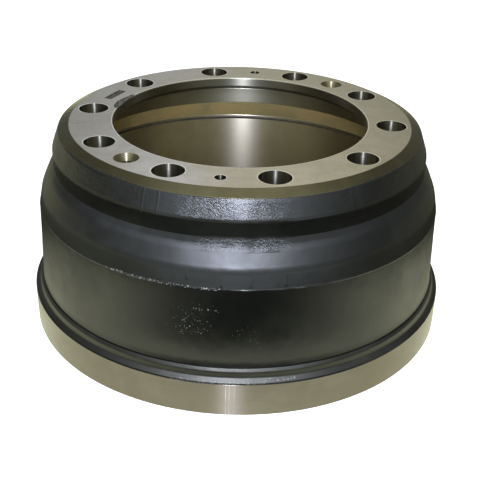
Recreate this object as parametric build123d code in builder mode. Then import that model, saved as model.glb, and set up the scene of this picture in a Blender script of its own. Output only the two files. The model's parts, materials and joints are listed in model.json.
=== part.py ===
from build123d import *
import math
import os

# Heavy-vehicle brake drum: one grey-iron casting, machined on its mounting face, pilot bore,
# brake surface and open rim. The drum stands on its open rim, so +Z runs from the rim to the
# mounting face and the origin is the centre of the rim's flat end. Millimetres.

# Brake bore
friction_diameter = 420.0
friction_height = 148.0  # open rim up to the relief groove
mouth_chamfer = 3.0  # widening of the bore at the open rim
mouth_height = 6.0
relief_width = 3.0  # tool run-out groove above the brake surface
relief_depth = 1.5
lip_depth = 2.0  # the dome's lip stands this far inside the brake surface
lip_height = 3.0

# Dome between the brake bore and the mounting flange
dome_height = 76.0  # relief groove up to the mounting face
dome_clearance = 6.0  # dome's wall outside the stud holes
dome_land_depth = 30.0  # mounting face down to the machined land inside the dome
dome_land_height = 19.0
cast_relief = 1.5  # unmachined wall above the land stands back by this much
inner_splay = 6.0  # conical corner between the dome's wall and the underside of the flange

# Mounting flange
flange_thickness = 15.0
pilot_land = 9.7  # iron between the pilot bore and the stud holes
pilot_edge = 0.8  # chamfer on the face side
pilot_back_chamfer = 5.0  # chamfer under the flange
bevel_run = 12.0  # machined bevel round the face, measured outwards
bevel_drop = 5.5

# Cast outside of the dome
dome_wall = 18.6
shoulder_run = 7.3  # conical shoulder below the bevel, measured outwards
shoulder_drop = 25.7  # mounting face down to the shoulder's edge
shoulder_corner = 2.0
neck_drop = 43.2  # mounting face down to where the shoulder meets the bulge
neck_blend = 4.6  # length of each side that the fillet takes up
crest_wall = 13.0  # iron outside the brake bore at the bulge's crest
crest_rise = 5.2  # relief groove up to the crest
crest_blend = 3.5

# Barrel
parting_wall = 16.5  # iron outside the brake bore at the mould's parting line
parting_drop = 9.7  # parting line below the relief groove

# Machined band and cast collar at the open rim
rim_wall = 29.5
rim_band_height = 37.6
rim_chamfer = 1.0
rim_ledge = 2.1  # cast collar stands back from the machined band
collar_step = 1.9  # flat step where the collar's top meets the barrel
collar_upper_run = 1.9
collar_upper_rise = 3.6
collar_wall_run = 0.5
collar_wall_rise = 5.6
collar_lower_run = 3.6
collar_lower_rise = 5.0

# Holes and pocket in the flange, all on or beside the stud circle
stud_circle_diameter = 335.0
stud_count = 10
stud_hole_diameter = 33.0
stud_hole_edge = 0.8
retainer_hole_diameter = 13.5
retainer_head_diameter = 26.0
retainer_head_angle = 90.0
jacking_hole_diameter = 11.8
jacking_hole_edge = 0.6
pocket_length = 34.0
pocket_width = 10.0
pocket_depth = 1.5
pocket_corner = 1.0
pocket_inset_distance = 4.5  # pocket's centre line inside the stud circle

# Radii and heights that follow from the sizes above
friction_radius = friction_diameter / 2
stud_circle_radius = stud_circle_diameter / 2
dome_bore_radius = stud_circle_radius + stud_hole_diameter / 2 + dome_clearance
pilot_radius = stud_circle_radius - stud_hole_diameter / 2 - pilot_land
relief_top = friction_height + relief_width
face_height = relief_top + dome_height
underside = face_height - flange_thickness
land_top = face_height - dome_land_depth
land_bottom = land_top - dome_land_height
shoulder_radius = dome_bore_radius + dome_wall
bevel_radius = shoulder_radius - shoulder_run
rim_radius = friction_radius + rim_wall
pitch_angle = 360 / stud_count
opposite_angle = pitch_angle * (stud_count // 2)


def blend_radius(before, corner, after, blend):
    # Radius of the fillet whose ends stand one blend length from the corner
    turn = (Vector(corner) - Vector(before)).get_angle(Vector(after) - Vector(corner))
    return blend / math.tan(math.radians(turn) / 2)


# Corners of the cast outside, from the bevel down to the open rim
bevel_foot = (bevel_radius, face_height - bevel_drop)
shoulder_edge = (shoulder_radius, face_height - shoulder_drop)
neck = (shoulder_radius, face_height - neck_drop)
crest = (friction_radius + crest_wall, relief_top + crest_rise)
parting = (friction_radius + parting_wall, friction_height - parting_drop)
collar_edge = (rim_radius - rim_ledge, rim_band_height)
collar_knee = (collar_edge[0] - collar_lower_run, collar_edge[1] + collar_lower_rise)
collar_brow = (collar_knee[0] - collar_wall_run, collar_knee[1] + collar_wall_rise)
collar_top = (collar_brow[0] - collar_upper_run, collar_brow[1] + collar_upper_rise)
foot = (collar_top[0] - collar_step, collar_top[1])
neck_fillet = blend_radius(shoulder_edge, neck, crest, neck_blend)
crest_fillet = blend_radius(neck, crest, parting, crest_blend)

with BuildPart() as brake_drum:
    # Half section through the drum's axis, turned into the whole casting
    with BuildSketch(Plane.XZ) as section:
        with BuildLine() as outline:
            FilletPolyline(
                (pilot_radius + pilot_edge, face_height),
                (bevel_radius - bevel_run, face_height),
                bevel_foot,
                shoulder_edge,
                neck,
                crest,
                parting,
                foot,
                collar_top,
                collar_brow,
                collar_knee,
                collar_edge,
                (rim_radius, rim_band_height),
                (rim_radius, rim_chamfer),
                (rim_radius - rim_chamfer, 0),
                radius=[
                    0,
                    0,
                    shoulder_corner,
                    neck_fillet,
                    crest_fillet,
                    0,
                    0,
                    0,
                    0,
                    0,
                    0,
                    0,
                    0,
                ],
            )
            Polyline(
                (rim_radius - rim_chamfer, 0),
                (friction_radius + mouth_chamfer, 0),
                (friction_radius, mouth_height),
                (friction_radius, friction_height),
                (friction_radius + relief_depth, friction_height),
                (friction_radius + relief_depth, relief_top),
                (friction_radius - lip_depth, relief_top),
                (friction_radius - lip_depth, relief_top + lip_height),
                (dome_bore_radius, land_bottom),
                (dome_bore_radius, land_top),
                (dome_bore_radius + cast_relief, land_top + cast_relief),
                (dome_bore_radius + cast_relief, underside - inner_splay),
                (dome_bore_radius + cast_relief - inner_splay, underside),
                (pilot_radius + pilot_back_chamfer, underside),
                (pilot_radius, underside + pilot_back_chamfer),
                (pilot_radius, face_height - pilot_edge),
                (pilot_radius + pilot_edge, face_height),
            )
        make_face()
    revolve(axis=Axis.Z)

    # Wheel-stud holes, the first on +X
    with Locations(Plane.XY.offset(face_height)):
        with PolarLocations(stud_circle_radius, stud_count):
            Hole(stud_hole_diameter / 2, depth=flange_thickness)

    # Two countersunk holes for the screws that hold the drum on its hub, midway between studs
    with Locations(Plane.XY.offset(face_height)):
        with PolarLocations(stud_circle_radius, 2, 1.5 * pitch_angle, opposite_angle, endpoint=True):
            CounterSinkHole(
                retainer_hole_diameter / 2,
                retainer_head_diameter / 2,
                depth=flange_thickness,
                counter_sink_angle=retainer_head_angle,
            )

    # Two jacking-screw holes, a quarter turn from the line of the first stud
    with Locations(Plane.XY.offset(face_height)):
        with PolarLocations(stud_circle_radius, 2, 2.5 * pitch_angle, opposite_angle, endpoint=True):
            Hole(jacking_hole_diameter / 2, depth=flange_thickness)

    # Edge breaks on the face side of the plain holes
    face_rings = brake_drum.edges().filter_by(GeomType.CIRCLE).group_by(Axis.Z)[-1]
    stud_rings = face_rings.filter_by(lambda ring: math.isclose(ring.radius, stud_hole_diameter / 2))
    jacking_rings = face_rings.filter_by(lambda ring: math.isclose(ring.radius, jacking_hole_diameter / 2))
    chamfer(stud_rings, length=stud_hole_edge)
    chamfer(jacking_rings, length=jacking_hole_edge)

    # Shallow pocket in the face, its long sides square to the radius
    with BuildSketch(Plane.XY.offset(face_height)) as pocket:
        with PolarLocations(stud_circle_radius - pocket_inset_distance, 1, 4.5 * pitch_angle):
            RectangleRounded(pocket_width, pocket_length, pocket_corner)
    extrude(amount=-pocket_depth, mode=Mode.SUBTRACT)

brake_drum.part.label = "brake_drum"

os.makedirs("parts", exist_ok=True)
export_step(brake_drum.part, "parts/brake_drum.step")
print("mass in cast iron, kg:", round(brake_drum.part.volume * 7.2e-6, 1))
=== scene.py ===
import json
import math

import bmesh
import bpy
from mathutils import Matrix, Vector


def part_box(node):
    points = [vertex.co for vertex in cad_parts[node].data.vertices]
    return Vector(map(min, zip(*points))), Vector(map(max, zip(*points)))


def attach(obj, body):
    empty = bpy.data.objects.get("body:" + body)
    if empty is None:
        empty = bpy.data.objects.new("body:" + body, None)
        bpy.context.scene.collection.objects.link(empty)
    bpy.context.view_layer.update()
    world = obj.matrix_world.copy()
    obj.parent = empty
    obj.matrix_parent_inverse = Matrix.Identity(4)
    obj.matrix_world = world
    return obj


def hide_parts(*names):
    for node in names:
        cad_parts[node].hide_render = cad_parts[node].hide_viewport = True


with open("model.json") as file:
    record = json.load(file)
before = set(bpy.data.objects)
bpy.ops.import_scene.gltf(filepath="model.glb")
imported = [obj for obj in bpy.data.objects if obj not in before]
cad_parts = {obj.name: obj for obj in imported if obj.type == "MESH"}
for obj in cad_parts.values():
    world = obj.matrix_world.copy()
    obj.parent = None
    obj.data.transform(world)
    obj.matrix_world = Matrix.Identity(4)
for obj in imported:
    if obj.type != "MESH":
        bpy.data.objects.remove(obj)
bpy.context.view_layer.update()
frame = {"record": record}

mm = 0.001
mounts = {mount["name"]: mount["dims"] for mount in frame["record"]["mounts"]}
drumLow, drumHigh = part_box("brake_drum")
faceHeight = drumHigh.z
rimRadius = min(drumHigh.x, -drumLow.x, drumHigh.y, -drumLow.y)
pilotRadius = mounts["pilot_bore"]["r_mm"] * mm
brakeRadius = mounts["brake_surface"]["r_mm"] * mm
studCircleRadius = mounts["stud_holes"]["pcd_mm"] * mm / 2
studRadius = mounts["stud_holes"]["hole_r_mm"] * mm
retainerRadius = mounts["retaining_screws"]["hole_r_mm"] * mm
jackingRadius = mounts["jacking_screws"]["hole_r_mm"] * mm


def plug(tree, value, socket):
    if isinstance(value, bpy.types.NodeSocket):
        tree.links.new(value, socket)
    else:
        socket.default_value = value


def addNode(tree, kind, values=None, **settings):
    node = tree.nodes.new(kind)
    for name, setting in settings.items():
        setattr(node, name, setting)
    for key, value in (values or {}).items():
        plug(tree, value, node.inputs[key])
    return node


def calc(tree, operation, *values):
    node = tree.nodes.new("ShaderNodeMath")
    node.operation = operation
    for socket, value in zip(node.inputs, values):
        plug(tree, value, socket)
    return node.outputs[0]


def vectorCalc(tree, operation, *values):
    node = tree.nodes.new("ShaderNodeVectorMath")
    node.operation = operation
    for socket, value in zip(node.inputs, values):
        plug(tree, value, socket)
    return node.outputs[0]


def scaled(tree, vector, amount):
    node = addNode(tree, "ShaderNodeVectorMath", {"Vector": vector, "Scale": amount}, operation="SCALE")
    return node.outputs[0]


def remap(tree, value, low, high, toLow=0.0, toHigh=1.0):
    # a soft step from one value to another
    node = addNode(tree, "ShaderNodeMapRange", {"Value": value, "From Min": low, "From Max": high,
                                                "To Min": toLow, "To Max": toHigh})
    node.interpolation_type = "SMOOTHSTEP"
    return node.outputs["Result"]


def giveInputs(modifier, values):
    # a modifier knows its inputs by their identifiers
    for item in modifier.node_group.interface.items_tree:
        if item.item_type == "SOCKET" and item.in_out == "INPUT" and item.name in values:
            modifier[item.identifier] = values[item.name]


outsideSizes = {  # millimetres, drops from the mounting face, walls outside the brake surface
    "faceWidth": 48.0, "bevelRun": 12.0, "bevelDrop": 5.5,
    "shoulderRun": 7.3, "shoulderDrop": 25.7, "shoulderBlend": 1.8, "neckDrop": 43.2, "neckBlend": 0.0,
    "swellWall": 4.3, "swellDrop": 50.7, "swellBlend": 3.6,
    "crestWall": 13.0, "crestDrop": 70.8, "crestBlend": 3.5,
    "partingWall": 16.5, "partingDrop": 88.7,
    "rimBandHeight": 37.6, "rimLedge": 2.1, "rimChamfer": 1.0,
    "collarLowerRun": 3.6, "collarLowerRise": 5.0, "collarWallRun": 0.5, "collarWallRise": 5.6,
    "collarUpperRun": 1.9, "collarUpperRise": 3.6, "collarStep": 1.4, "flareRun": 0.7, "flareRise": 5.0,
}
insideSizes = {  # millimetres, heights from the floor
    "brakeHeight": 148.0, "mouthChamfer": 3.0, "mouthHeight": 6.0, "grooveDepth": 1.5, "grooveWidth": 3.0,
    "lipDepth": 2.0, "lipHeight": 3.0, "domeRadius": 190.0, "landBottom": 178.0, "landTop": 197.0,
    "castRelief": 1.5, "innerBlend": 6.0, "flange": 15.0, "backChamfer": 5.0, "pilotEdge": 0.8,
    "wornAndGlintWidth": 1.0, "edgeRun": 0.25, "edgeRise": 0.7, "edgeStep": 0.2, "domeBlend": 0.8,
    "lipEdgeRun": 0.175, "lipEdgeRise": 0.5,
}
edgeBlends = {  # millimetres from each small edge to where its rounding starts
    "pilot": 0.2, "face": 0.25, "bevel": 0.7, "flare": 2.0, "collarTop": 0.5, "brow": 0.8, "knee": 1.0,
    "ledge": 0.3, "band": 0.25, "lip": 0.35,
}
castSkin = {  # waves and grain of the sand mould, and the share of them on two smoother stretches
    "waveDepth": 0.3 * mm, "waveScale": 22.0, "grainDepth": 0.14 * mm, "grainScale": 130.0, "detail": 2.0,
    "seed": 7.0, "bevelFoot": 0.3, "inside": 0.4,
}
flashLine = {  # the ridge where the halves of the mould met
    "height": faceHeight - outsideSizes["partingDrop"] * mm, "rise": 0.28 * mm, "halfWidth": 0.8 * mm,
    "patchiness": 28.0, "detail": 5.0, "roughness": 0.75, "patchRange": (0.3, 0.7), "lowest": 0.25,
}
meshSteps = {
    "segments": 576, "castStep": 4.0, "arcTurn": 30.0, "wideArcTurn": 12.0, "wideBlend": 5.0,
    "sharpTurn": 35.0, "support": (0.35,), "flashSupport": (0.4, 0.8, 1.3, 2.0), "supportRoom": 2.5,
}


def sectionCorners():
    # (radius, height, blend length, zone of the stretch that follows, how rough the skin is there)
    out, ins, blends = outsideSizes, insideSizes, edgeBlends
    top = faceHeight / mm
    brake = brakeRadius / mm
    pilot = pilotRadius / mm
    rim = rimRadius / mm
    faceOuter = pilot + out["faceWidth"]
    bevelFoot = faceOuter + out["bevelRun"]
    shoulder = bevelFoot + out["shoulderRun"]
    ledge = rim - out["rimLedge"]
    knee = ledge - out["collarLowerRun"]
    brow = knee - out["collarWallRun"]
    collarTop = brow - out["collarUpperRun"]
    foot = collarTop - out["collarStep"]
    band = out["rimBandHeight"]
    kneeHeight = band + out["collarLowerRise"]
    browHeight = kneeHeight + out["collarWallRise"]
    collarHeight = browHeight + out["collarUpperRise"]
    grooveTop = ins["brakeHeight"] + ins["grooveWidth"]
    lip, lipTop = brake - ins["lipDepth"], grooveTop + ins["lipHeight"]
    under = top - ins["flange"]
    castDome = ins["domeRadius"] + ins["castRelief"]
    castHeight = ins["landTop"] + ins["edgeRise"] + ins["castRelief"] - ins["edgeRun"]
    return [
        # a narrow ring by the bore's edge gets the worn edge finish: real edge wear, painted near-white as a
        # highlight
        (pilot + ins["pilotEdge"], top, blends["pilot"], "wornAndGlint", 0),
        (pilot + ins["pilotEdge"] + ins["wornAndGlintWidth"], top, 0, "face", 0),
        (faceOuter, top, blends["face"], "bevel", 0),
        (bevelFoot, top - out["bevelDrop"], blends["bevel"], "paint", castSkin["bevelFoot"]),
        (shoulder, top - out["shoulderDrop"], out["shoulderBlend"], "paint", 1),
        (shoulder, top - out["neckDrop"], out["neckBlend"], "paint", 1),
        (brake + out["swellWall"], top - out["swellDrop"], out["swellBlend"], "paint", 1),
        (brake + out["crestWall"], top - out["crestDrop"], out["crestBlend"], "paint", 1),
        (brake + out["partingWall"], top - out["partingDrop"], 0, "paint", 1),
        (foot - out["flareRun"], collarHeight + out["flareRise"], blends["flare"], "paint", 1),
        (foot, collarHeight, 0, "collar", 1),
        (collarTop, collarHeight, blends["collarTop"], "collar", 1),
        (brow, browHeight, blends["brow"], "collar", 1),
        (knee, kneeHeight, blends["knee"], "collar", 1),
        (ledge, band, blends["ledge"], "ledge", 0),
        (rim, band, blends["band"], "band", 0),
        (rim, out["rimChamfer"], 0, "band", 0),
        (rim - out["rimChamfer"], 0, 0, "rimEnd", 0),
        (brake + ins["mouthChamfer"], 0, 0, "brake", 0),
        (brake, ins["mouthHeight"], 0, "brake", 0),
        (brake, ins["brakeHeight"], 0, "groove", 0),
        (brake + ins["grooveDepth"], ins["brakeHeight"], 0, "groove", 0),
        (brake + ins["grooveDepth"], grooveTop, 0, "groove", 0),
        (lip, grooveTop, blends["lip"], "lip", 0),
        (lip, lipTop - ins["lipEdgeRise"], 0, "lip", 0),
        (lip + ins["lipEdgeRun"], lipTop, 0, "dome", 0),
        (lip - ins["edgeStep"], lipTop + ins["edgeStep"], 0, "dome", 0),
        (ins["domeRadius"], ins["landBottom"], ins["domeBlend"], "land", 0),
        (ins["domeRadius"], ins["landTop"], 0, "land", 0),
        (ins["domeRadius"] + ins["edgeRun"], ins["landTop"] + ins["edgeRise"], 0, "inside", 0),
        (castDome, castHeight, 0, "inside", castSkin["inside"]),
        (castDome, under, ins["innerBlend"], "inside", castSkin["inside"]),
        (pilot + ins["backChamfer"], under, 0, "pilot", 0),
        (pilot, under + ins["backChamfer"], 0, "pilot", 0),
        (pilot, top - ins["pilotEdge"], blends["pilot"], "face", 0),
    ]


def cornerTurn(before, corner, after):
    return (corner - before).angle(after - corner)


def cornerPoints(before, corner, after, blend):
    # rounds one corner with an arc whose ends stand a blend length away
    if blend == 0:
        return [corner]
    back, ahead = (before - corner).normalized(), (after - corner).normalized()
    turn = cornerTurn(before, corner, after)
    arcTurn = meshSteps["wideArcTurn" if blend > meshSteps["wideBlend"] else "arcTurn"]
    steps = max(2, math.ceil(math.degrees(turn) / arcTurn))
    radius = blend / math.tan(turn / 2)
    centre = corner + (back + ahead).normalized() * (radius / math.cos(turn / 2))
    start, end = corner + back * blend - centre, corner + ahead * blend - centre
    shares = [step / steps for step in range(steps + 1)]
    return [centre + (start * math.sin((1 - share) * turn) + end * math.sin(share * turn)) / math.sin(turn)
            for share in shares]


def supportSteps(blend, turn, isFlash):
    # rings beside a corner, so that its rounding doesn't shade the wall
    if isFlash:
        return meshSteps["flashSupport"]
    if blend == 0 and math.degrees(turn) > meshSteps["sharpTurn"]:
        return ()
    return meshSteps["support"]


def sectionOutline():
    corners = sectionCorners()
    count = len(corners)
    places = [Vector(corner[:2]) for corner in corners]
    trios = [(places[k - 1], places[k], places[(k + 1) % count]) for k in range(count)]
    arcs = [cornerPoints(*trio, corner[2]) for trio, corner in zip(trios, corners)]
    flashCorner = min(range(count), key=lambda n: abs(places[n].y * mm - flashLine["height"]))
    supports = [supportSteps(corner[2], cornerTurn(*trio), k == flashCorner)
                for k, (trio, corner) in enumerate(zip(trios, corners))]
    outline = []  # place, zone and skin of each point
    for k, corner in enumerate(corners):
        zone, skin = corner[3:]
        arc, following = arcs[k], (k + 1) % count
        zoneBefore, skinAfter = corners[k - 1][3], corners[following][4]
        half = len(arc) // 2
        outline += [(point, zoneBefore, skin) for point in arc[:half]]
        outline += [(point, zone, skin) for point in arc[half:]]
        start, end = arc[-1], arcs[following][0]
        length = (end - start).length
        room = length / meshSteps["supportRoom"]
        isCast = skin > 0 or skinAfter > 0
        pieces = max(1, round(length / meshSteps["castStep"])) if isCast else 1
        shares = [n / pieces for n in range(1, pieces)]
        shares += [step / length for step in supports[k] if step < room]
        shares += [1 - step / length for step in supports[following] if step < room]
        for share in sorted(shares):
            outline.append((start.lerp(end, share), zone, skin + (skinAfter - skin) * share))
    return outline


# a face's zone says which finish it gets
zoneNames = ["face", "bevel", "paint", "collar", "ledge", "band", "rimEnd", "brake", "groove", "lip", "dome",
             "land", "inside", "pilot", "studHole", "wornAndGlint", "countersink", "pocket", "flaw"]


def sectionObject():
    outline = sectionOutline()
    mesh = bpy.data.meshes.new("drumSection")
    mesh.from_pydata([(place.x * mm, 0, place.y * mm) for place, zone, skin in outline], [], [])
    zones = [zoneNames.index(zone) for place, zone, skin in outline]
    skins = [skin for place, zone, skin in outline]
    mesh.attributes.new("zone", "INT", "POINT").data.foreach_set("value", zones)
    mesh.attributes.new("skin", "FLOAT", "POINT").data.foreach_set("value", skins)
    section = bpy.data.objects.new("brakeDrum", mesh)
    bpy.context.scene.collection.objects.link(section)
    print("section points:", len(outline))
    return section


holeSizes = {  # millimetres, and how many flanges long a drill is
    "studEdge": 1.1, "jackingEdge": 0.7, "edgeDepth": 0.06, "retainerHead": 13.0, "above": 1.5,
    "widening": 2.0, "drillFlanges": 4, "sides": 72,
}
holeTurns = {"Stud": 0.0, "Retainer": 54.0, "Jacking": 90.0}
pocketSizes = {  # millimetres and degrees, as in the three after it
    "length": 34.0, "width": 10.0, "depth": 1.5, "inset": 4.5, "turn": 162.0,
    "roughness": 0.5, "grain": 260.0, "seed": 3.0, "steps": (9, 28, 3),
}
boreFlaw = {
    "start": 143.0, "sweep": 36.0, "radius": 144.0, "halfWidth": 6.0, "halfHeight": 2.2, "lift": 1.0,
    "lean": 2.6, "bluntness": 0.7, "narrowest": 0.05, "roughness": 1.0, "grain": 150.0, "seed": 5.0,
    "steps": 60, "sides": 20,
}
faceScratch = {  # each end is a radius and a turn
    "from": (188.6, -162.8), "to": (163.6, -165.6), "halfWidth": 0.38,
    "wander": 1.6, "grain": 40.0, "seed": 2.0, "steps": 16, "sides": 6,
}
nickLook = {"roughness": 0.3, "grain": 900.0, "rounds": 2}
faceNicks = [(141.6, 83.6, 0.7), (156.6, -14.8, 0.5), (181.0, 31.0, 0.35)]  # radius, turn, size


def turnPoint(radius, degrees, height):
    turn = math.radians(degrees)
    return (radius * mm * math.cos(turn), radius * mm * math.sin(turn), height)


def holePoints(tree, given, kind):
    # evenly spaced points on the stud circle
    index = addNode(tree, "GeometryNodeInputIndex").outputs[0]
    count = given[kind + " Count"]
    step = calc(tree, "DIVIDE", math.tau, count)
    turn = calc(tree, "MULTIPLY_ADD", index, step, math.radians(holeTurns[kind]))
    place = addNode(tree, "ShaderNodeCombineXYZ", {
        "X": calc(tree, "MULTIPLY", calc(tree, "COSINE", turn), given["Stud Circle"]),
        "Y": calc(tree, "MULTIPLY", calc(tree, "SINE", turn), given["Stud Circle"]),
        "Z": faceHeight})
    return addNode(tree, "GeometryNodePoints", {"Count": count, "Position": place.outputs[0]}).outputs[0]


def markZone(tree, geometry, zone):
    marked = addNode(tree, "GeometryNodeStoreNamedAttribute",
                     {"Geometry": geometry, "Name": "zone", "Value": zoneNames.index(zone)},
                     data_type="INT", domain="FACE")
    return marked.outputs["Geometry"]


def moved(tree, geometry, offset, scale=(1, 1, 1), rotation=(0, 0, 0)):
    node = addNode(tree, "GeometryNodeTransform", {"Geometry": geometry, "Translation": offset,
                                                   "Rotation": rotation, "Scale": scale})
    return node.outputs["Geometry"]


def roughened(tree, geometry, depth, scale, seed):
    # pushes every point about by smooth noise
    place = addNode(tree, "GeometryNodeInputPosition").outputs[0]
    noise = addNode(tree, "ShaderNodeTexNoise", {"Vector": place, "W": seed, "Scale": scale, "Detail": 3.0},
                    noise_dimensions="4D")
    centred = vectorCalc(tree, "SUBTRACT", noise.outputs["Color"], (0.5, 0.5, 0.5))
    offset = vectorCalc(tree, "MULTIPLY", centred, (2 * depth,) * 3)
    pushed = addNode(tree, "GeometryNodeSetPosition", {"Geometry": geometry, "Offset": offset})
    return pushed.outputs["Geometry"]


def holeCutters(tree, given, kind, wider, headDepth, headZone):
    # a drill and the cone that makes its mouth wider, at each hole of one kind
    sides, radius = holeSizes["sides"], given[kind + " Radius"]
    slope = wider / headDepth
    above = min(holeSizes["above"] * mm, holeSizes["widening"] * mm / slope)
    drill = addNode(tree, "GeometryNodeMeshCylinder", {
        "Vertices": sides, "Radius": radius, "Depth": holeSizes["drillFlanges"] * insideSizes["flange"] * mm})
    head = addNode(tree, "GeometryNodeMeshCone", {
        "Vertices": sides, "Radius Top": calc(tree, "ADD", radius, wider + above * slope),
        "Radius Bottom": radius, "Depth": headDepth + above})
    points = holePoints(tree, given, kind)
    cutters = []
    for shape, zone in ((drill.outputs["Mesh"], "studHole"),
                        (moved(tree, head.outputs["Mesh"], (0, 0, -headDepth)), headZone)):
        placed = addNode(tree, "GeometryNodeInstanceOnPoints",
                         {"Points": points, "Instance": markZone(tree, shape, zone)})
        cutters.append(placed.outputs["Instances"])
    return cutters


def pocketCutter(tree):
    # a shallow box in the face, as if cast in
    size = pocketSizes
    above = holeSizes["above"]
    box = addNode(tree, "GeometryNodeMeshCube", {
        "Size": (size["width"] * mm, size["length"] * mm, (size["depth"] + above) * mm),
        "Vertices X": size["steps"][0], "Vertices Y": size["steps"][1], "Vertices Z": size["steps"][2]})
    rough = roughened(tree, box.outputs["Mesh"], size["roughness"] * mm, size["grain"], size["seed"])
    radius = studCircleRadius / mm - size["inset"]
    place = turnPoint(radius, size["turn"], faceHeight + (above - size["depth"]) / 2 * mm)
    return moved(tree, markZone(tree, rough, "pocket"), place, rotation=(0, 0, math.radians(size["turn"])))


def boreFlawCutter(tree):
    # a rough shallow hollow that hugs the bore's edge
    flaw = boreFlaw
    arc = addNode(tree, "GeometryNodeCurveArc", {"Resolution": flaw["steps"], "Radius": flaw["radius"] * mm,
                                                 "Start Angle": math.radians(flaw["start"]),
                                                 "Sweep Angle": math.radians(flaw["sweep"])})
    along = addNode(tree, "GeometryNodeSplineParameter").outputs["Factor"]
    lean = calc(tree, "POWER", along, flaw["lean"])  # widest near its far end
    taper = calc(tree, "POWER", calc(tree, "SINE", calc(tree, "MULTIPLY", lean, math.pi)), flaw["bluntness"])
    ring = addNode(tree, "GeometryNodeCurvePrimitiveCircle", {"Resolution": flaw["sides"],
                                                              "Radius": flaw["halfWidth"] * mm})
    tube = addNode(tree, "GeometryNodeCurveToMesh", {
        "Curve": arc.outputs["Curve"], "Profile Curve": ring.outputs["Curve"],
        "Scale": calc(tree, "MAXIMUM", taper, flaw["narrowest"]), "Fill Caps": True})
    flat = moved(tree, tube.outputs["Mesh"], (0, 0, 0), scale=(1, 1, flaw["halfHeight"] / flaw["halfWidth"]))
    rough = roughened(tree, flat, flaw["roughness"] * mm, flaw["grain"], flaw["seed"])
    return moved(tree, markZone(tree, rough, "flaw"), (0, 0, faceHeight + flaw["lift"] * mm))


def scratchCutter(tree):
    # a wandering line that stays level with the face
    scratch = faceScratch
    line = addNode(tree, "GeometryNodeCurvePrimitiveLine", {"Start": turnPoint(*scratch["from"], faceHeight),
                                                            "End": turnPoint(*scratch["to"], faceHeight)})
    finer = addNode(tree, "GeometryNodeResampleCurve", {"Curve": line.outputs["Curve"],
                                                        "Count": scratch["steps"]})
    bent = roughened(tree, finer.outputs["Curve"], scratch["wander"] * mm, scratch["grain"], scratch["seed"])
    place = addNode(tree, "GeometryNodeInputPosition").outputs[0]
    parts = addNode(tree, "ShaderNodeSeparateXYZ", {"Vector": place}).outputs
    flat = addNode(tree, "ShaderNodeCombineXYZ", {"X": parts["X"], "Y": parts["Y"], "Z": faceHeight})
    level = addNode(tree, "GeometryNodeSetPosition", {"Geometry": bent, "Position": flat.outputs[0]})
    ring = addNode(tree, "GeometryNodeCurvePrimitiveCircle", {"Resolution": scratch["sides"],
                                                              "Radius": scratch["halfWidth"] * mm})
    groove = addNode(tree, "GeometryNodeCurveToMesh", {
        "Curve": level.outputs["Geometry"], "Profile Curve": ring.outputs["Curve"], "Fill Caps": True})
    return markZone(tree, groove.outputs["Mesh"], "flaw")


def nickCutters(tree):
    cutters = []
    for radius, degrees, size in faceNicks:
        ball = addNode(tree, "GeometryNodeMeshIcoSphere", {"Radius": size * mm,
                                                           "Subdivisions": nickLook["rounds"]})
        depth = nickLook["roughness"] * size * mm
        rough = roughened(tree, ball.outputs["Mesh"], depth, nickLook["grain"], radius)
        cutters.append(moved(tree, markZone(tree, rough, "flaw"), turnPoint(radius, degrees, faceHeight)))
    return cutters


mergeDistance = 0.01 * mm  # joins the two ends of each ring


def turnedSection(tree, given):
    # a grid whose rows follow the half section and whose columns go round the axis
    section = given["Geometry"]
    size = addNode(tree, "GeometryNodeAttributeDomainSize", {"Geometry": section})
    points = size.outputs["Point Count"]
    rows, columns = calc(tree, "ADD", points, 1), calc(tree, "ADD", given["Segments"], 1)
    grid = addNode(tree, "GeometryNodeMeshGrid", {"Vertices X": rows, "Vertices Y": columns})
    index = addNode(tree, "GeometryNodeInputIndex").outputs[0]
    row = calc(tree, "MODULO", calc(tree, "FLOOR", calc(tree, "DIVIDE", index, columns)), points)
    share = calc(tree, "DIVIDE", calc(tree, "MODULO", index, columns), given["Segments"])
    turn = calc(tree, "MULTIPLY", share, math.tau)
    place = addNode(tree, "GeometryNodeInputPosition").outputs[0]
    sampled = addNode(tree, "GeometryNodeSampleIndex",
                      {"Geometry": section, "Index": row}, data_type="FLOAT_VECTOR")
    plug(tree, place, sampled.inputs["Value"])
    parts = addNode(tree, "ShaderNodeSeparateXYZ", {"Vector": sampled.outputs["Value"]}).outputs
    around = addNode(tree, "ShaderNodeCombineXYZ", {
        "X": calc(tree, "MULTIPLY", parts["X"], calc(tree, "COSINE", turn)),
        "Y": calc(tree, "MULTIPLY", parts["X"], calc(tree, "SINE", turn)), "Z": parts["Z"]})
    turned = addNode(tree, "GeometryNodeSetPosition",
                     {"Geometry": grid.outputs["Mesh"], "Position": around.outputs["Vector"]})
    mesh = turned.outputs["Geometry"]
    faceRow = calc(tree, "FLOOR", calc(tree, "DIVIDE", index, given["Segments"]))
    for name, kind, domain, source in (("zone", "INT", "FACE", faceRow), ("skin", "FLOAT", "POINT", row)):
        named = addNode(tree, "GeometryNodeInputNamedAttribute", {"Name": name}, data_type=kind)
        sample = addNode(tree, "GeometryNodeSampleIndex", {"Geometry": section, "Index": source},
                         data_type=kind)
        plug(tree, named.outputs["Attribute"], sample.inputs["Value"])
        store = addNode(tree, "GeometryNodeStoreNamedAttribute", {"Geometry": mesh, "Name": name},
                        data_type=kind, domain=domain)
        plug(tree, sample.outputs["Value"], store.inputs["Value"])
        mesh = store.outputs["Geometry"]
    merged = addNode(tree, "GeometryNodeMergeByDistance", {"Geometry": mesh, "Distance": mergeDistance})
    return merged.outputs["Geometry"]


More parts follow.
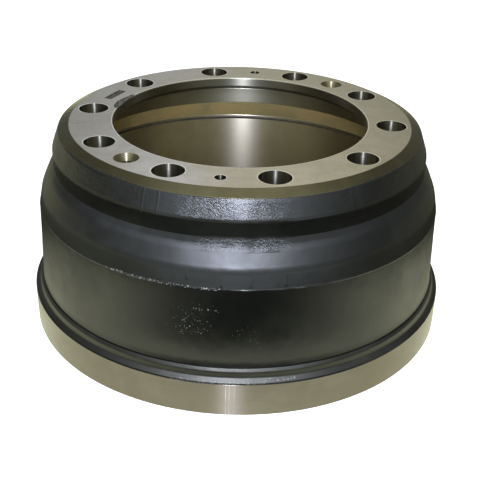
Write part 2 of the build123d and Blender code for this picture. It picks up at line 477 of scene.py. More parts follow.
def castSurface(tree, given, mesh):
    # pushes the cast skin in and out, and raises the ridge at the parting line
    place = addNode(tree, "GeometryNodeInputPosition").outputs[0]
    normal = addNode(tree, "GeometryNodeInputNormal").outputs[0]
    stored = addNode(tree, "GeometryNodeInputNamedAttribute", {"Name": "skin"}, data_type="FLOAT")
    skin = stored.outputs["Attribute"]
    depth = 0.0
    for name in ("Wave", "Grain"):
        noise = addNode(tree, "ShaderNodeTexNoise", {"Vector": place, "W": given["Seed"],
                                                     "Scale": given[name + " Scale"],
                                                     "Detail": castSkin["detail"]}, noise_dimensions="4D")
        swing = calc(tree, "MULTIPLY", calc(tree, "SUBTRACT", noise.outputs[0], 0.5), 2.0)
        depth = calc(tree, "MULTIPLY_ADD", swing, given[name + " Depth"], depth)
    depth = calc(tree, "MULTIPLY", depth, skin)
    height = addNode(tree, "ShaderNodeSeparateXYZ", {"Vector": place}).outputs["Z"]
    gap = calc(tree, "ABSOLUTE", calc(tree, "SUBTRACT", height, given["Flash Height"]))
    slope = calc(tree, "SUBTRACT", 1.0, calc(tree, "DIVIDE", gap, given["Flash Half Width"]))
    patches = addNode(tree, "ShaderNodeTexNoise", {
        "Vector": place, "W": given["Seed"], "Scale": given["Flash Patchiness"],
        "Detail": flashLine["detail"], "Roughness": flashLine["roughness"]}, noise_dimensions="4D")
    patchy = remap(tree, patches.outputs[0], *flashLine["patchRange"], flashLine["lowest"], 1.0)
    ridge = calc(tree, "MULTIPLY", calc(tree, "MAXIMUM", slope, 0.0), patchy)
    ridge = calc(tree, "MULTIPLY", calc(tree, "MULTIPLY", ridge, given["Flash Rise"]), skin)
    offset = scaled(tree, normal, calc(tree, "ADD", depth, ridge))
    shaped = addNode(tree, "GeometryNodeSetPosition", {"Geometry": mesh, "Offset": offset})
    return shaped.outputs["Geometry"]


castingInputs = {  # the tree's named inputs, with lengths in metres
    "Segments": meshSteps["segments"], "Seed": castSkin["seed"],
    "Wave Depth": castSkin["waveDepth"], "Wave Scale": castSkin["waveScale"],
    "Grain Depth": castSkin["grainDepth"], "Grain Scale": castSkin["grainScale"],
    "Flash Height": flashLine["height"], "Flash Rise": flashLine["rise"],
    "Flash Half Width": flashLine["halfWidth"], "Flash Patchiness": flashLine["patchiness"],
    "Stud Circle": studCircleRadius, "Stud Count": mounts["stud_holes"]["count"], "Stud Radius": studRadius,
    "Retainer Count": mounts["retaining_screws"]["count"], "Retainer Radius": retainerRadius,
    "Jacking Count": mounts["jacking_screws"]["count"], "Jacking Radius": jackingRadius,
}


def castingTree(finishes):
    # turns the section, roughens its cast skin, cuts every hole and gives each zone its finish
    tree = bpy.data.node_groups.new("drumCasting", "GeometryNodeTree")
    tree.interface.new_socket("Geometry", in_out="INPUT", socket_type="NodeSocketGeometry")
    for name, value in castingInputs.items():
        kind = "NodeSocketInt" if isinstance(value, int) else "NodeSocketFloat"
        tree.interface.new_socket(name, in_out="INPUT", socket_type=kind)
    tree.interface.new_socket("Geometry", in_out="OUTPUT", socket_type="NodeSocketGeometry")
    given = addNode(tree, "NodeGroupInput").outputs
    mesh = castSurface(tree, given, turnedSection(tree, given))
    edgeDepth = holeSizes["edgeDepth"] * mm
    headDepth = holeSizes["retainerHead"] * mm - retainerRadius
    # stud and jacking hole mouths get the worn edge finish: real edge wear, painted near-white as a highlight
    # ring
    cutters = holeCutters(tree, given, "Stud", holeSizes["studEdge"] * mm, edgeDepth, "wornAndGlint")
    cutters += holeCutters(tree, given, "Retainer", headDepth, headDepth, "countersink")
    cutters += holeCutters(tree, given, "Jacking", holeSizes["jackingEdge"] * mm, edgeDepth, "wornAndGlint")
    cutters += [pocketCutter(tree), boreFlawCutter(tree), scratchCutter(tree)] + nickCutters(tree)
    cut = addNode(tree, "GeometryNodeMeshBoolean", {"Mesh 1": mesh},
                  operation="DIFFERENCE", solver="MANIFOLD")
    for cutter in cutters:
        plug(tree, cutter, cut.inputs["Mesh 2"])
    solid = addNode(tree, "GeometryNodeRealizeInstances", {"Geometry": cut.outputs["Mesh"]}).outputs[0]
    zone = addNode(tree, "GeometryNodeInputNamedAttribute", {"Name": "zone"}, data_type="INT")
    for number, name in enumerate(zoneNames):
        chosen = addNode(tree, "FunctionNodeCompare", {2: zone.outputs["Attribute"], 3: number},
                         data_type="INT", operation="EQUAL")
        finished = addNode(tree, "GeometryNodeSetMaterial", {
            "Geometry": solid, "Selection": chosen.outputs[0], "Material": finishes[name]})
        solid = finished.outputs["Geometry"]
    plug(tree, solid, addNode(tree, "NodeGroupOutput").inputs["Geometry"])
    return tree


def newFinish(name, color, metallic, roughness, level=0.5):
    # the start of every finish: turned, drilled, painted or raw iron
    material = bpy.data.materials.new(name)
    material.use_nodes = True
    shader = material.node_tree.nodes["Principled BSDF"]
    shader.inputs["Base Color"].default_value = (*color, 1)
    shader.inputs["Metallic"].default_value = metallic
    shader.inputs["Roughness"].default_value = roughness
    shader.inputs["Specular IOR Level"].default_value = level
    return material, material.node_tree, shader


def ringPlace(tree):
    # where a point is on the drum: its place, distance from the axis, turn and height
    place = addNode(tree, "ShaderNodeTexCoord").outputs["Object"]
    parts = addNode(tree, "ShaderNodeSeparateXYZ", {"Vector": place}).outputs
    flat = calc(tree, "MULTIPLY_ADD", parts["X"], parts["X"], calc(tree, "MULTIPLY", parts["Y"], parts["Y"]))
    turn = calc(tree, "ARCTAN2", parts["Y"], parts["X"])
    return place, calc(tree, "SQRT", flat), turn, parts["Z"]


def mixColor(tree, factor, first, second):
    node = addNode(tree, "ShaderNodeMix", data_type="RGBA")
    for socket, value in ((node.inputs[0], factor), (node.inputs[6], first), (node.inputs[7], second)):
        plug(tree, (*value, 1) if isinstance(value, tuple) else value, socket)
    return node.outputs[2]


def within(tree, value, low, high, fade):
    # one between two limits and nothing beyond them
    rise = remap(tree, value, low - fade / 2, low + fade / 2)
    return calc(tree, "MULTIPLY", rise, remap(tree, value, high - fade / 2, high + fade / 2, 1.0, 0.0))


def noiseAt(tree, place, scale, detail=3.0, roughness=0.55):
    return addNode(tree, "ShaderNodeTexNoise", {"Vector": place, "Scale": scale, "Detail": detail,
                                                "Roughness": roughness}).outputs[0]


def stretchShine(tree, shader, stretch, rotation):
    # draws the highlights out round the axis, or across it at a quarter turn
    shader.inputs["Anisotropic"].default_value = stretch
    shader.inputs["Anisotropic Rotation"].default_value = rotation
    tangent = addNode(tree, "ShaderNodeTangent", direction_type="RADIAL", axis="Z")
    tree.links.new(tangent.outputs[0], shader.inputs["Tangent"])


def bumpFrom(tree, shader, height, depth):
    bump = addNode(tree, "ShaderNodeBump", {"Height": height, "Strength": 1.0, "Distance": depth})
    tree.links.new(bump.outputs[0], shader.inputs["Normal"])


turnedLook = {
    "face": {"color": (0.55, 0.52, 0.43), "stain": (0.49, 0.455, 0.35), "roughness": 0.26, "stretch": 0.45,
             "lines": 900.0, "depth": 0.02 * mm},
    "bevel": {"color": (0.23, 0.21, 0.13), "stain": (0.18, 0.16, 0.095), "roughness": 0.24, "stretch": 0.4,
              "lines": 900.0, "depth": 0.03 * mm},
    "band": {"color": (0.152, 0.138, 0.124), "stain": (0.139, 0.123, 0.106), "roughness": 0.26,
             "stretch": 1.0, "lines": 700.0, "depth": 0.03 * mm},
    "brake": {"color": (0.445, 0.415, 0.345), "stain": (0.395, 0.355, 0.28), "roughness": 0.285,
              "stretch": 0.92, "lines": 1100.0, "depth": 0.01 * mm},
    "land": {"color": (0.225, 0.215, 0.17), "stain": (0.19, 0.178, 0.136), "roughness": 0.34, "stretch": 0.7,
             "lines": 800.0, "depth": 0.02 * mm},
    "dome": {"color": (0.88, 0.725, 0.38), "stain": (0.77, 0.60, 0.28), "roughness": 0.52, "stretch": 0.35,
             "lines": 420.0, "depth": 0.03 * mm},
}
stainLook = {  # the more a finish is stretched, the less its stains dull it
    "scale": 14.0, "fineScale": 70.0, "fineShare": 0.35, "range": (0.38, 0.62),
    "dulling": 0.25, "sparing": 0.8, "lineShade": 0.16, "lineStretch": 3.0,
}
streaks = {  # up and down the band and the brake surface, with scores (turn and width in degrees) on the band: bright scratch lines that also paint a highlight streak where the lamp shines on the band
    "scale": 46.0, "rise": 12.0, "shade": 0.10,
    "glintScores": ((-85.9, 0.10), (-85.1, 0.06), (-83.9, 0.05)), "scoreGlint": 0.9, "scoreFade": 1.5,
    "scoreGaps": (0.35, 0.6),
}
slop = {  # turns in degrees
    "turns": ((-146, -114), (-50, -28)), "fade": 12, "reach": 4.5 * mm, "least": 0.5 * mm, "edge": 0.2 * mm,
    "scale": 330.0, "raggedness": 2.0, "back": -0.6, "color": (0.008, 0.009, 0.007), "roughness": 0.3,
}


def paintSlop(tree, shader, color, roughness, place, radius, turn):
    # paint that ran over the lower edge of the bevel
    foot = pilotRadius + (outsideSizes["faceWidth"] + outsideSizes["bevelRun"]) * mm
    reach = slop["least"]
    for low, high in slop["turns"]:
        messy = within(tree, turn, math.radians(low), math.radians(high), math.radians(slop["fade"]))
        reach = calc(tree, "MULTIPLY_ADD", messy, slop["reach"], reach)
    noise = noiseAt(tree, place, slop["scale"], 4.0, 0.7)
    ragged = calc(tree, "MULTIPLY_ADD", noise, slop["raggedness"], slop["back"])
    over = calc(tree, "ADD", radius, calc(tree, "MULTIPLY", ragged, reach))
    mask = remap(tree, over, foot - slop["edge"], foot + slop["edge"])
    tree.links.new(calc(tree, "SUBTRACT", 1.0, mask), shader.inputs["Metallic"])
    color = mixColor(tree, mask, color, slop["color"])
    duller = slop["roughness"] - turnedLook["bevel"]["roughness"]
    return color, calc(tree, "MULTIPLY_ADD", mask, duller, roughness)


def turnedFinish(name):
    # fine tool lines round the drum under a patchy stain
    look = turnedLook[name]
    material, tree, shader = newFinish(name + "Turned", look["color"], 1.0, look["roughness"])
    place, radius, turn, height = ringPlace(tree)
    across = calc(tree, "MULTIPLY", calc(tree, "ADD", radius, height), look["lines"])
    along = calc(tree, "MULTIPLY", turn, stainLook["lineStretch"])
    tooled = addNode(tree, "ShaderNodeCombineXYZ", {"X": across, "Y": along})
    lines = noiseAt(tree, tooled.outputs[0], 1.0, 2.0)
    stain = noiseAt(tree, place, stainLook["scale"], 4.0)
    fine = noiseAt(tree, place, stainLook["fineScale"], 3.0)
    broad = calc(tree, "MULTIPLY", stain, 1 - stainLook["fineShare"])
    mottled = calc(tree, "MULTIPLY_ADD", fine, stainLook["fineShare"], broad)
    stained = remap(tree, mottled, *stainLook["range"])
    shade = calc(tree, "MULTIPLY", calc(tree, "SUBTRACT", lines, 0.5), stainLook["lineShade"])
    if name in ("brake", "band"):
        down = addNode(tree, "ShaderNodeCombineXYZ", {"X": calc(tree, "MULTIPLY", turn, streaks["scale"]),
                                                      "Y": calc(tree, "MULTIPLY", height, streaks["rise"])})
        streak = calc(tree, "SUBTRACT", noiseAt(tree, down.outputs[0], 1.0, 3.0), 0.5)
        shade = calc(tree, "MULTIPLY_ADD", streak, streaks["shade"], shade)
    if name == "band":
        # bright scratch lines on the band, which also paint a highlight streak at the lamp's turn
        for turned, width in streaks["glintScores"]:
            aside = calc(tree, "ABSOLUTE", calc(tree, "SUBTRACT", turn, math.radians(turned)))
            fade = math.radians(width) * streaks["scoreFade"]
            glintScore = remap(tree, aside, 0.0, fade, streaks["scoreGlint"], 0.0)
            broken = calc(tree, "MULTIPLY", glintScore, remap(tree, fine, *streaks["scoreGaps"]))
            shade = calc(tree, "ADD", shade, broken)
    color = scaled(tree, mixColor(tree, stained, look["color"], look["stain"]), calc(tree, "ADD", 1.0, shade))
    dulling = stainLook["dulling"] * look["roughness"] * (1.0 - stainLook["sparing"] * look["stretch"])
    roughness = calc(tree, "MULTIPLY_ADD", stained, dulling, look["roughness"] - dulling / 2)
    if name == "bevel":
        color, roughness = paintSlop(tree, shader, color, roughness, place, radius, turn)
    tree.links.new(color, shader.inputs["Base Color"])
    tree.links.new(roughness, shader.inputs["Roughness"])
    stretchShine(tree, shader, look["stretch"], 0.25)  # shines across the grooves
    bumpFrom(tree, shader, lines, look["depth"])
    return material


drilledLook = {
    "studHole": {"color": (0.165, 0.155, 0.13), "roughness": 0.31, "stretch": 0.95},
    # worn edges: real edge wear, with a near-white colour that paints the highlight these edges catch
    "wornAndGlint": {"color": (0.92, 0.88, 0.74), "roughness": 0.28, "stretch": 0.0},
    "countersink": {"color": (0.34, 0.31, 0.195), "roughness": 0.36, "stretch": 0.92},
    "pilot": {"color": (0.19, 0.18, 0.15), "roughness": 0.33, "stretch": 0.9},
    "lip": {"color": (0.34, 0.325, 0.275), "roughness": 0.30, "stretch": 0.6},
}
drillMarks = {"rings": 1600.0, "dull": 0.75, "depth": 0.015 * mm}


def drilledFinish(name):
    # tool marks run level round each wall, so the tangent is square to its normal
    look = drilledLook[name]
    material, tree, shader = newFinish(name + "Cut", look["color"], 1.0, look["roughness"])
    height = ringPlace(tree)[3]
    ringsAt = calc(tree, "MULTIPLY", height, drillMarks["rings"])
    rings = addNode(tree, "ShaderNodeTexNoise", {"W": ringsAt, "Scale": 1.0, "Detail": 2.0},
                    noise_dimensions="1D").outputs[0]
    dull = tuple(channel * drillMarks["dull"] for channel in look["color"])
    tree.links.new(mixColor(tree, rings, look["color"], dull), shader.inputs["Base Color"])
    shader.inputs["Anisotropic"].default_value = look["stretch"]
    shader.inputs["Anisotropic Rotation"].default_value = 0.25
    normal = addNode(tree, "ShaderNodeNewGeometry").outputs["Normal"]
    tangent = vectorCalc(tree, "CROSS_PRODUCT", (0.0, 0.0, 1.0), normal)
    tree.links.new(vectorCalc(tree, "NORMALIZE", tangent), shader.inputs["Tangent"])
    bumpFrom(tree, shader, rings, drillMarks["depth"])
    return material


paintLook = {
    "paint": {"color": (0.0010, 0.0012, 0.0011), "dust": (0.0028, 0.0031, 0.0024), "roughness": 0.31,
              "stretch": 0.84, "shine": (1.0, 1.0, 1.0), "grain": 0.035 * mm, "chips": 0.80},
    "collar": {"color": (0.002, 0.0023, 0.0022), "dust": (0.008, 0.008, 0.0075), "roughness": 0.36,
               "stretch": 0.7, "shine": (1.0, 0.97, 0.86), "grain": 0.12 * mm, "chips": 0.78},
    "ledge": {"color": (0.006, 0.006, 0.006), "dust": (0.03, 0.022, 0.015), "roughness": 0.5,
              "stretch": 0.0, "shine": (1.0, 1.0, 0.95), "grain": 0.12 * mm, "chips": 0.76},
}
paintGrain = {
    "level": 0.42, "scale": 420.0, "pitScale": 1300.0, "pitShare": 0.3,
    "dustScale": 9.0, "dustRange": (0.45, 0.75), "dustDulling": 0.12, "cleanGloss": 0.02,
    "chipScale": 620.0, "chipFade": 0.03, "chipColor": (0.11, 0.11, 0.10),
    "peelScale": 520.0, "peelDepth": 0.5 * mm, "peelBlotches": 45.0,
    "blotchRange": (0.35, 0.6), "thinPeel": 0.25,
    "strokeSlant": 48.0, "strokeScales": (180.0, 820.0), "strokeDepth": 0.8 * mm,
    "runWidth": 1.8 * mm, "runDepth": 0.13 * mm, "runFade": 3 * mm,
    "upperDrops": (45 * mm, 30 * mm), "upperRoughness": -0.02,  # the shoulder is a little glossier
}
# turns in degrees, heights in millimetres, fades of both, then how chipped, pitted or brushed the paint is
paintPatches = [
    {"turns": (-119, -86), "heights": (137.0, 139.8), "fade": (6, 0.4), "chips": 0.24},
    {"turns": (-86, -58), "heights": (137.4, 139.4), "fade": (12, 0.4), "chips": 0.12},
    {"turns": (-100, -89), "heights": (82, 122), "fade": (8, 20), "chips": 0.15},
    {"turns": (-96, -87), "heights": (112, 120), "fade": (5, 6), "chips": 0.16},
    {"turns": (-86, -76), "heights": (74, 100), "fade": (8, 16), "chips": 0.13},
    {"turns": (-101, -76), "heights": (36.5, 39.0), "fade": (4, 1.0), "chips": 0.20},
    {"turns": (-78, -68), "heights": (38.5, 41.5), "fade": (3, 2.0), "chips": 0.20},
    {"turns": (-180, 180), "heights": (200, 222), "fade": (1, 4), "pits": 0.22},
    {"turns": (-84, -68), "heights": (201, 219), "fade": (12, 4), "pits": 0.65},
    {"turns": (-150, -108), "heights": (202, 221), "fade": (16, 4), "pits": 0.8, "chips": 0.04},
    {"turns": (-52, -16), "heights": (202, 221), "fade": (16, 4), "pits": 0.8, "chips": 0.05},
    {"turns": (-92, -72), "heights": (174, 184), "fade": (10, 4), "pits": 1.6},
    {"turns": (-99, -86), "heights": (202, 221), "fade": (8, 4), "strokes": 0.8},
    {"turns": (-81, -72), "heights": (202, 221), "fade": (8, 4), "strokes": 0.4},
]
paintRuns = [(-110.0, 199, 221), (-105.5, 199, 221), (-96.0, 146, 155), (-87.5, 141, 153), (-80.4, 141, 152),
             (-72.0, 142, 153), (-52.0, 200, 219), (34.0, 200, 220), (118.0, 144, 154)]  # turn, heights


def patchAt(tree, turn, height, patch):
    (left, right), (low, high), (turnFade, heightFade) = patch["turns"], patch["heights"], patch["fade"]
    across = within(tree, turn, math.radians(left), math.radians(right), math.radians(turnFade))
    return calc(tree, "MULTIPLY", across, within(tree, height, low * mm, high * mm, heightFade * mm))


def wearAt(tree, turn, height, kind):
    # how worn the paint is at each place in one way, from all the patches that have it
    total = 0.0
    for patch in paintPatches:
        if kind in patch:
            mask = patchAt(tree, turn, height, patch)
            total = calc(tree, "MAXIMUM", total, calc(tree, "MULTIPLY", mask, patch[kind]))
    return total


def paintRelief(tree, place, radius, turn, height):
    # orange peel, slanting strokes and runs, as a height in metres
    grain = paintGrain
    peel = calc(tree, "MULTIPLY", noiseAt(tree, place, grain["peelScale"], 3.0, 0.6), grain["peelDepth"])
    blotches = noiseAt(tree, place, grain["peelBlotches"])
    thickness = remap(tree, blotches, *grain["blotchRange"], grain["thinPeel"], 1.0)
    pitted = wearAt(tree, turn, height, "pits")
    relief = calc(tree, "MULTIPLY", calc(tree, "MULTIPLY", peel, thickness), pitted)
    around = calc(tree, "MULTIPLY", turn, radius)
    slant = math.radians(grain["strokeSlant"])
    cosine, sine = math.cos(slant), math.sin(slant)
    drop = calc(tree, "MULTIPLY", height, sine)
    along = calc(tree, "SUBTRACT", calc(tree, "MULTIPLY", around, cosine), drop)
    across = calc(tree, "MULTIPLY_ADD", around, sine, calc(tree, "MULTIPLY", height, cosine))
    alongScale, acrossScale = grain["strokeScales"]
    brushed = addNode(tree, "ShaderNodeCombineXYZ", {"X": calc(tree, "MULTIPLY", along, alongScale),
                                                     "Y": calc(tree, "MULTIPLY", across, acrossScale)})
    strokes = calc(tree, "MULTIPLY", noiseAt(tree, brushed.outputs[0], 1.0, 2.0), grain["strokeDepth"])
    relief = calc(tree, "MULTIPLY_ADD", strokes, wearAt(tree, turn, height, "strokes"), relief)
    for turned, low, high in paintRuns:
        aside = calc(tree, "MULTIPLY", calc(tree, "SUBTRACT", turn, math.radians(turned)), radius)
        ridge = remap(tree, calc(tree, "ABSOLUTE", aside), 0.0, grain["runWidth"], grain["runDepth"], 0.0)
        ridge = calc(tree, "MULTIPLY", ridge, within(tree, height, low * mm, high * mm, grain["runFade"]))
        relief = calc(tree, "ADD", relief, ridge)
    return relief


def paintFinish(name):
    # black paint, wiped round the drum, with dust, grain, chips and relief
    look, grain = paintLook[name], paintGrain
    material, tree, shader = newFinish(name + "Black", look["color"], 0.0, look["roughness"], grain["level"])
    place, radius, turn, height = ringPlace(tree)
    stretchShine(tree, shader, look["stretch"], 0.0)
    plug(tree, (*look["shine"], 1), shader.inputs["Specular Tint"])
    dust = remap(tree, noiseAt(tree, place, grain["dustScale"], 5.0, 0.65), *grain["dustRange"])
    dusty = mixColor(tree, dust, look["color"], look["dust"])
    chips = noiseAt(tree, place, grain["chipScale"], 2.0)
    # how much the paint is chipped, from chip noise and the chipped patches
    wornAndGlint = calc(tree, "ADD", chips, wearAt(tree, turn, height, "chips"))
    chipped = remap(tree, wornAndGlint, look["chips"], look["chips"] + grain["chipFade"])
    tree.links.new(mixColor(tree, chipped, dusty, grain["chipColor"]), shader.inputs["Base Color"])
    low, high = (faceHeight - drop for drop in grain["upperDrops"])
    upper = remap(tree, height, low, high, 0.0, grain["upperRoughness"])
    clean = calc(tree, "ADD", upper, look["roughness"] - grain["cleanGloss"])
    tree.links.new(calc(tree, "MULTIPLY_ADD", dust, grain["dustDulling"], clean), shader.inputs["Roughness"])
    coarse = noiseAt(tree, place, grain["scale"], 4.0, 0.6)
    pits = noiseAt(tree, place, grain["pitScale"], 2.0)
    fine = calc(tree, "MULTIPLY", calc(tree, "MULTIPLY_ADD", pits, grain["pitShare"], coarse), look["grain"])
    bumpFrom(tree, shader, calc(tree, "ADD", fine, paintRelief(tree, place, radius, turn, height)), 1.0)
    return material


rawLook = {
    "pocket": {"color": (0.045, 0.042, 0.034), "rust": (0.15, 0.13, 0.09), "roughness": 0.6},
    "flaw": {"color": (0.03, 0.03, 0.026), "rust": (0.15, 0.14, 0.12), "roughness": 0.55},
    "inside": {"color": (0.05, 0.048, 0.04), "rust": (0.11, 0.085, 0.05), "roughness": 0.6},
    "groove": {"color": (0.06, 0.05, 0.036), "rust": (0.03, 0.024, 0.017), "roughness": 0.6},
}
rawGrain = {"metallic": 0.4, "scale": 160.0, "rustRange": (0.4, 0.65), "fineScale": 520.0, "depth": 0.6 * mm}


def rawFinish(name):
    # sandy iron, browner in patches
    look, grain = rawLook[name], rawGrain
    material, tree, shader = newFinish(name + "Raw", look["color"], grain["metallic"], look["roughness"])
    place = ringPlace(tree)[0]
    rusty = remap(tree, noiseAt(tree, place, grain["scale"], 5.0, 0.65), *grain["rustRange"])
    tree.links.new(mixColor(tree, rusty, look["color"], look["rust"]), shader.inputs["Base Color"])
    bumpFrom(tree, shader, noiseAt(tree, place, grain["fineScale"], 4.0, 0.65), grain["depth"])
    return material


def allFinishes():
    finishes = {name: turnedFinish(name) for name in turnedLook}
    finishes.update({name: drilledFinish(name) for name in drilledLook})
    finishes.update({name: paintFinish(name) for name in paintLook})
    finishes.update({name: rawFinish(name) for name in rawLook})
    finishes["rimEnd"] = finishes["band"]
    print("finishes:", len(finishes))
    return finishes


def sharpenBorders(mesh, names):
    # keeps the flat face's shading apart from the hollows cut in it
    numbers = {zoneNames.index(name) for name in names}
    shape = bmesh.new()
    shape.from_mesh(mesh)
    zone = shape.faces.layers.int["zone"]
    for edge in shape.edges:
        around = {face[zone] for face in edge.link_faces}
        if len(around) > 1 and around & numbers:
            edge.smooth = False
    shape.to_mesh(mesh)
    shape.free()


def buildDrum():
    drum = sectionObject()
    modifier = drum.modifiers.new("casting", "NODES")
    modifier.node_group = castingTree(allFinishes())
    giveInputs(modifier, castingInputs)
    evaluated = drum.evaluated_get(bpy.context.evaluated_depsgraph_get())
    mesh = bpy.data.meshes.new_from_object(evaluated)
    drum.modifiers.clear()
    drum.data = mesh
    mesh.name = "brakeDrum"
    mesh.shade_smooth()
    mesh.set_sharp_from_angle(angle=math.radians(meshSteps["sharpTurn"]))
    sharpenBorders(mesh, ("pocket", "flaw", "wornAndGlint"))
    print("drum faces:", len(mesh.polygons))
    return drum


drum = buildDrum()
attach(drum, "root")
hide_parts("brake_drum")


cameraPlace = {"lens": 64.98, "sensor": 36.0, "distance": 1.0233, "elevation": 26.06, "azimuth": -83.95,
               "yaw": -0.169, "pitch": -2.108, "roll": 1.31}


def addCamera():
    place = cameraPlace
    data = bpy.data.cameras.new("camera")
    data.lens = place["lens"]
    data.sensor_width = place["sensor"]
    camera = bpy.data.objects.new("camera", data)
    bpy.context.scene.collection.objects.link(camera)
    elevation, azimuth = math.radians(place["elevation"]), math.radians(place["azimuth"])
    away = Vector((math.cos(elevation) * math.cos(azimuth), math.cos(elevation) * math.sin(azimuth),
                   math.sin(elevation)))
    right = Vector((-math.sin(azimuth), math.cos(azimuth), 0))
    aim = Matrix((right, away.cross(right), away)).transposed()
    aim = aim @ Matrix.Rotation(math.radians(place["yaw"]), 3, "Y")
    aim = aim @ Matrix.Rotation(math.radians(place["pitch"]), 3, "X")
    aim = aim @ Matrix.Rotation(math.radians(place["roll"]), 3, "Z")
    middle = Vector((0, 0, faceHeight / 2))
    camera.matrix_world = Matrix.Translation(middle + away * place["distance"]) @ aim.to_4x4()
    bpy.context.scene.camera = camera


def towards(turn, elevation):
    flat = math.cos(math.radians(elevation))
    return Vector((flat * math.cos(math.radians(turn)), flat * math.sin(math.radians(turn)),
                   math.sin(math.radians(elevation))))


def dotWith(tree, direction, fixed):
    return vectorCalc(tree, "DOT_PRODUCT", direction, tuple(fixed)).node.outputs["Value"]


def radiansOf(degrees):
    return [math.radians(angle) for angle in degrees]


lamps = {
    "turn": -85.8, "distance": 1.65, "width": 0.15, "color": (0.76, 0.82, 1.0),
    "keyElevation": 23.5, "keyHeight": 0.64, "keyPower": 44.0,
    "highElevation": 65.0, "highHeight": 0.42, "highPower": 4.5,
}


def addLamps():
    middle = Vector((0, 0, faceHeight / 2))
    for name in ("key", "high"):
        data = bpy.data.lights.new(name + "Lamp", "AREA")
        data.shape = "RECTANGLE"
        data.size, data.size_y = lamps["width"], lamps[name + "Height"]
        data.energy = lamps[name + "Power"]
        data.color = lamps["color"]
        lamp = bpy.data.objects.new(name + "Lamp", data)
        bpy.context.scene.collection.objects.link(lamp)
        lamp.location = middle + towards(lamps["turn"], lamps[name + "Elevation"]) * lamps["distance"]
        lamp.rotation_euler = (middle - lamp.location).to_track_quat("-Z", "Y").to_euler()


room = {
    # how bright the room is at each elevation in degrees, behind the drum and before it
    "back": ((0, 0.14), (12, 0.175), (45, 0.20), (60, 0.34), (76, 0.74)),
    "front": ((0, 0.20), (16, 0.30), (45, 0.36), (62, 0.50), (76, 0.74)),
    "leftTint": (1.0, 1.03, 0.94), "rightTint": (1.0, 1.02, 0.90),
    "backTurnOver": (-0.5, 0.5), "sideTurnOver": (-0.3, 0.3),
    # a cool glow round the lamps
    "haloLevel": 1.3, "haloTint": (0.84, 0.93, 0.91), "haloNarrow": (0.36, 0.97), "haloTop": (34.0, 50.0),
    "haloAbove": 0.3,
    # a bright panel behind the drum, bluer at its left
    "panelTurn": 95.5, "panelElevation": 33.0, "panelLevel": 0.65, "panelNarrow": (0.938, 0.995),
    "panelLeft": (1.22, 1.25, 1.72), "panelRight": (1.008, 0.951, 0.91), "panelTurnOver": (-0.10, -0.035),
}


def levelAt(tree, up, stops):
    # brightness by how high a direction points
    ramp = tree.nodes.new("ShaderNodeValToRGB")
    plug(tree, up, ramp.inputs[0])
    while len(ramp.color_ramp.elements) < len(stops):
        ramp.color_ramp.elements.new(1.0)
    for element, (elevation, level) in zip(ramp.color_ramp.elements, stops):
        element.position = math.sin(math.radians(elevation))
        element.color = (level, level, level, 1)
    return ramp.outputs[0]


def roomLight():
    # a pale room, dimmer near the horizon and plain white where it is seen directly
    world = bpy.data.worlds.new("studio")
    world.use_nodes = True
    tree = world.node_tree
    direction = addNode(tree, "ShaderNodeTexCoord").outputs["Generated"]
    up = addNode(tree, "ShaderNodeSeparateXYZ", {"Vector": direction}).outputs["Z"]
    rightwards = dotWith(tree, direction, towards(lamps["turn"] + 90, 0))
    backShare = remap(tree, dotWith(tree, direction, -towards(lamps["turn"], 0)), *room["backTurnOver"])
    level = mixColor(tree, backShare, levelAt(tree, up, room["front"]), levelAt(tree, up, room["back"]))
    side = remap(tree, rightwards, *room["sideTurnOver"])
    tint = mixColor(tree, side, room["leftTint"], room["rightTint"])
    toPanel = dotWith(tree, direction, towards(room["panelTurn"], room["panelElevation"]))
    panelSide = remap(tree, rightwards, *room["panelTurnOver"])
    panelColor = mixColor(tree, panelSide, room["panelLeft"], room["panelRight"])
    panel = scaled(tree, panelColor, remap(tree, toPanel, *room["panelNarrow"], 0.0, room["panelLevel"]))
    toLamp = dotWith(tree, direction, towards(lamps["turn"], lamps["keyElevation"]))
    top = [math.sin(angle) for angle in radiansOf(room["haloTop"])]
    halo = calc(tree, "MULTIPLY", remap(tree, toLamp, *room["haloNarrow"], 0.0, room["haloLevel"]),
                remap(tree, up, *top, 1.0, room["haloAbove"]))
    walls = vectorCalc(tree, "MULTIPLY", vectorCalc(tree, "ADD", level, panel), tint)
    lit = vectorCalc(tree, "ADD", walls, scaled(tree, room["haloTint"], halo))
    seen = addNode(tree, "ShaderNodeLightPath").outputs["Is Camera Ray"]
    tree.links.new(mixColor(tree, seen, lit, (1, 1, 1)), tree.nodes["Background"].inputs["Color"])
    return world


def levelPlane(name, size, height):
    # a square of the stage, with an empty material
    half = size / 2
    corners = [(x * half, y * half, height) for x, y in ((-1, -1), (1, -1), (1, 1), (-1, 1))]
    mesh = bpy.data.meshes.new(name)
    mesh.from_pydata(corners, [], [(0, 1, 2, 3)])
    plane = bpy.data.objects.new(name, mesh)
    bpy.context.scene.collection.objects.link(plane)
    material = bpy.data.materials.new(name)
    material.use_nodes = True
    material.node_tree.nodes.clear()
    mesh.materials.append(material)
    return plane, material.node_tree


floorLook = {"size": 12.0, "color": (0.86, 0.86, 0.86), "glow": (0.58, 0.85), "spread": (0.35, 1.2)}


def addFloor():
    # pale, and brighter than it is lit where it is seen or mirrored
    tree = levelPlane("paleFloor", floorLook["size"], 0)[1]
    pale = addNode(tree, "ShaderNodeBsdfDiffuse", {"Color": (*floorLook["color"], 1)})
    strength = remap(tree, ringPlace(tree)[1], *floorLook["spread"], *floorLook["glow"])
    glow = addNode(tree, "ShaderNodeEmission", {"Strength": strength})
    both = addNode(tree, "ShaderNodeAddShader", {0: pale.outputs[0], 1: glow.outputs[0]})
    rays = addNode(tree, "ShaderNodeLightPath").outputs
    seen = calc(tree, "MAXIMUM", calc(tree, "MAXIMUM", rays["Is Camera Ray"], rays["Is Glossy Ray"]),
                rays["Is Transmission Ray"])
    surface = addNode(tree, "ShaderNodeMixShader", {0: seen, 1: pale.outputs[0], 2: both.outputs[0]})
    addNode(tree, "ShaderNodeOutputMaterial", {"Surface": surface.outputs[0]})


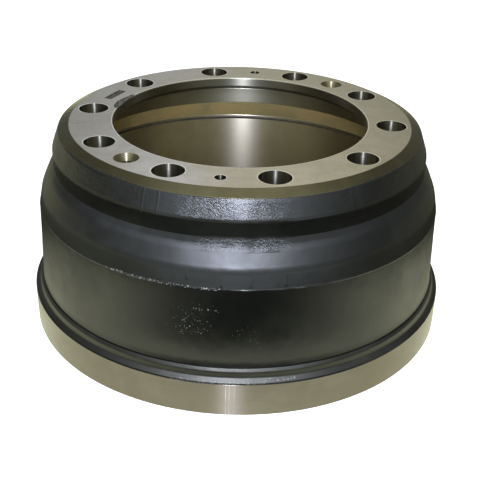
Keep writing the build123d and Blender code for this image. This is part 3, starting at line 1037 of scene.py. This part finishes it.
reflectionShade = {  # painted shade and tint in the drum's reflections of the floor; turns in degrees from its own front, distances from the axis in metres
    "size": 12.0, "height": 0.8 * mm, "turn": -81.5, "dark": 0.03, "far": 0.04,
    "front": (12.0, 58.0), "back": (66.0, 118.0), "inner": (0.333, 0.353), "outer": (0.455, 0.513),
    "bend": 0.0245, "aside": (34.0, 62.0), "limit": (0.85, 1.3),
    "sides": (0.34, 0.17), "sideTurnOver": (-0.3, 0.3), "beyond": (0.65, 0.73), "distance": (1.1, 3.0),
    "distant": 2.4, "bore": (0.10, 0.19), "middle": 0.35,
    "tint": (1.0, 0.98, 0.66), "cool": (0.88, 0.96, 1.0), "boreTint": (1.0, 0.89, 0.30),
}


def addReflectionShade():
    # a sheet just over the floor which only glossy rays meet: painted shade in the drum's reflections, dark
    # before the drum and behind it, with painted tints
    shadeSheet = reflectionShade
    sheet, tree = levelPlane("floorShade", shadeSheet["size"], shadeSheet["height"])
    for ray in ("camera", "diffuse", "shadow", "transmission", "volume_scatter"):
        setattr(sheet, "visible_" + ray, False)
    place, radius = ringPlace(tree)[:2]
    forwards = dotWith(tree, place, towards(shadeSheet["turn"], 0))
    ahead = calc(tree, "ARCCOSINE", calc(tree, "DIVIDE", forwards, radius))
    # painted shade in reflections: a dark sector in front, a dark ring beyond the rim and a dark back
    sector = remap(tree, ahead, *radiansOf(shadeSheet["front"]), shadeSheet["dark"], 1.0)
    near = calc(tree, "MAXIMUM", sector, remap(tree, radius, *shadeSheet["inner"], 1.0, 0.0))
    reach = calc(tree, "MULTIPLY_ADD", calc(tree, "MULTIPLY", ahead, ahead), shadeSheet["bend"], radius)
    far = remap(tree, reach, *shadeSheet["outer"], 1.0, shadeSheet["far"])
    behind = remap(tree, ahead, *radiansOf(shadeSheet["back"]), 1.0, shadeSheet["far"])
    level = calc(tree, "MINIMUM", calc(tree, "MINIMUM", near, far), behind)
    # clear again far off in front, with a cool painted tint there, and partly at each side
    distant = remap(tree, radius, *shadeSheet["limit"])
    clear = calc(tree, "MULTIPLY", distant, remap(tree, ahead, *radiansOf(shadeSheet["aside"]), 1.0, 0.0))
    rightwards = calc(tree, "DIVIDE", dotWith(tree, place, towards(shadeSheet["turn"] + 90, 0)), radius)
    side = remap(tree, rightwards, *shadeSheet["sideTurnOver"], *shadeSheet["sides"])
    side = calc(tree, "MULTIPLY", side, remap(tree, reach, *shadeSheet["beyond"]))
    side = calc(tree, "MULTIPLY", side, remap(tree, radius, *shadeSheet["distance"], 1.0, shadeSheet["distant"]))
    level = calc(tree, "MAXIMUM", level, calc(tree, "MAXIMUM", clear, side))
    # painted shade and a yellow painted reflection tint in the middle of the bore
    outside = remap(tree, radius, *shadeSheet["bore"])
    dimming = calc(tree, "MULTIPLY_ADD", outside, 1 - shadeSheet["middle"], shadeSheet["middle"])
    tint = mixColor(tree, clear, mixColor(tree, outside, shadeSheet["boreTint"], shadeSheet["tint"]), shadeSheet["cool"])
    shade = scaled(tree, tint, calc(tree, "MINIMUM", level, dimming))
    surface = addNode(tree, "ShaderNodeBsdfTransparent", {"Color": shade})
    addNode(tree, "ShaderNodeOutputMaterial", {"Surface": surface.outputs[0]})


addCamera()
addLamps()
addFloor()
addReflectionShade()
bpy.context.scene.world = roomLight()
bpy.context.scene.view_settings.view_transform = "Standard"
print("studio and camera are set")
